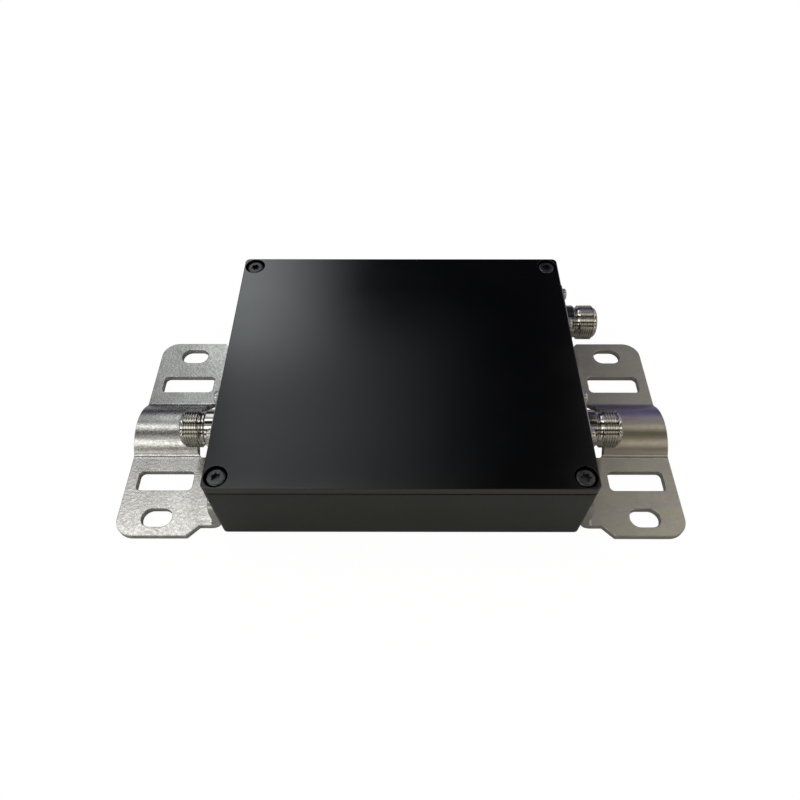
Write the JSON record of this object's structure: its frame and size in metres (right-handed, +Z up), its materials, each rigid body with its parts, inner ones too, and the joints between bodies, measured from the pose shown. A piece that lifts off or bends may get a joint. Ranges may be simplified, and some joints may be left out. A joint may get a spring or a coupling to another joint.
{
  "type": "rf duplexer",
  "caption": "Flat black cavity duplexer with a screwed cover, threaded coaxial jacks in its sides and slotted sheet brackets with pole saddles.",
  "frame": {"origin": "centre of the milled housing's flat underside", "axes": "+Z up through the cover, +X towards the side wall with two jacks and along the longest extent, -Y towards the plain front wall"},
  "size_m": [0.232, 0.123, 0.038],
  "materials": {
    "housing_paint": "black powder coat, fine satin texture over milled aluminium",
    "cover_paint": "black powder coat, fine satin texture",
    "gasket_rubber": "matt black silicone rubber",
    "black_screw": "black oxide steel",
    "plate_aluminium": "milled, silver plated",
    "resonator_plating": "silver plated brass",
    "tuning_brass": "turned brass",
    "nut_steel": "zinc plated steel",
    "screw_steel": "stainless steel",
    "jack_nickel": "nickel plated brass, bright",
    "jack_insulator": "white PTFE",
    "contact_gold": "gold plated",
    "wire_copper": "bare copper wire",
    "bracket_bright": "tumbled stainless steel, mottled and bright",
    "bracket_dull": "stainless steel, duller, with faint heat colour"
  },
  "bodies": {
    "duplexer": {"housing": "housing_paint", "tuning_plate": "plate_aluminium", "cover": "cover_paint", "cover_gasket": "gasket_rubber", "cover_screws": "black_screw", "plate_screws": "screw_steel", "resonator_screws": "screw_steel", "tuning_lock_nuts": "nut_steel", "coupling_lock_nuts": "nut_steel", "resonator_low_1": "resonator_plating", "resonator_low_2": "resonator_plating", "resonator_low_3": "resonator_plating", "resonator_low_4": "resonator_plating", "resonator_high_1": "resonator_plating", "resonator_high_2": "resonator_plating", "resonator_high_3": "resonator_plating", "resonator_high_4": "resonator_plating", "antenna_jack_shell": "jack_nickel", "antenna_jack_insulator": "jack_insulator", "antenna_jack_contact": "contact_gold", "antenna_jack_seal": "gasket_rubber", "antenna_jack_screws": "screw_steel", "low_jack_shell": "jack_nickel", "low_jack_insulator": "jack_insulator", "low_jack_contact": "contact_gold", "low_jack_seal": "gasket_rubber", "low_jack_screws": "screw_steel", "high_jack_shell": "jack_nickel", "high_jack_insulator": "jack_insulator", "high_jack_contact": "contact_gold", "high_jack_seal": "gasket_rubber", "high_jack_screws": "screw_steel", "tap_wire_low": "wire_copper", "tap_wire_high": "wire_copper", "antenna_wire_low": "wire_copper", "antenna_wire_high": "wire_copper", "bracket_left": "bracket_bright", "bracket_right": "bracket_dull", "bracket_screws_left": "screw_steel", "bracket_screws_right": "screw_steel"},
    "tuning_low_1": {"tuning_screw_low_1": "tuning_brass"},
    "tuning_low_2": {"tuning_screw_low_2": "tuning_brass"},
    "tuning_low_3": {"tuning_screw_low_3": "tuning_brass"},
    "tuning_low_4": {"tuning_screw_low_4": "tuning_brass"},
    "coupling_low_1": {"coupling_screw_low_1": "tuning_brass"},
    "coupling_low_2": {"coupling_screw_low_2": "tuning_brass"},
    "coupling_low_3": {"coupling_screw_low_3": "tuning_brass"},
    "tuning_high_1": {"tuning_screw_high_1": "tuning_brass"},
    "tuning_high_2": {"tuning_screw_high_2": "tuning_brass"},
    "tuning_high_3": {"tuning_screw_high_3": "tuning_brass"},
    "tuning_high_4": {"tuning_screw_high_4": "tuning_brass"},
    "coupling_high_1": {"coupling_screw_high_1": "tuning_brass"},
    "coupling_high_2": {"coupling_screw_high_2": "tuning_brass"},
    "coupling_high_3": {"coupling_screw_high_3": "tuning_brass"}
  },
  "joints": [
    {"name": "tune_low_1", "type": "slide", "parent": "duplexer", "child": "tuning_low_1", "axis": [0, 0, 1], "range_m": [-0.003, 0.002]},
    {"name": "tune_low_2", "type": "slide", "parent": "duplexer", "child": "tuning_low_2", "axis": [0, 0, 1], "range_m": [-0.003, 0.002]},
    {"name": "tune_low_3", "type": "slide", "parent": "duplexer", "child": "tuning_low_3", "axis": [0, 0, 1], "range_m": [-0.003, 0.002]},
    {"name": "tune_low_4", "type": "slide", "parent": "duplexer", "child": "tuning_low_4", "axis": [0, 0, 1], "range_m": [-0.003, 0.002]},
    {"name": "couple_low_1", "type": "slide", "parent": "duplexer", "child": "coupling_low_1", "axis": [0, 0, 1], "range_m": [-0.004, 0.002]},
    {"name": "couple_low_2", "type": "slide", "parent": "duplexer", "child": "coupling_low_2", "axis": [0, 0, 1], "range_m": [-0.004, 0.002]},
    {"name": "couple_low_3", "type": "slide", "parent": "duplexer", "child": "coupling_low_3", "axis": [0, 0, 1], "range_m": [-0.004, 0.002]},
    {"name": "tune_high_1", "type": "slide", "parent": "duplexer", "child": "tuning_high_1", "axis": [0, 0, 1], "range_m": [-0.003, 0.002]},
    {"name": "tune_high_2", "type": "slide", "parent": "duplexer", "child": "tuning_high_2", "axis": [0, 0, 1], "range_m": [-0.003, 0.002]},
    {"name": "tune_high_3", "type": "slide", "parent": "duplexer", "child": "tuning_high_3", "axis": [0, 0, 1], "range_m": [-0.003, 0.002]},
    {"name": "tune_high_4", "type": "slide", "parent": "duplexer", "child": "tuning_high_4", "axis": [0, 0, 1], "range_m": [-0.003, 0.002]},
    {"name": "couple_high_1", "type": "slide", "parent": "duplexer", "child": "coupling_high_1", "axis": [0, 0, 1], "range_m": [-0.004, 0.002]},
    {"name": "couple_high_2", "type": "slide", "parent": "duplexer", "child": "coupling_high_2", "axis": [0, 0, 1], "range_m": [-0.004, 0.002]},
    {"name": "couple_high_3", "type": "slide", "parent": "duplexer", "child": "coupling_high_3", "axis": [0, 0, 1], "range_m": [-0.004, 0.002]}
  ]
}
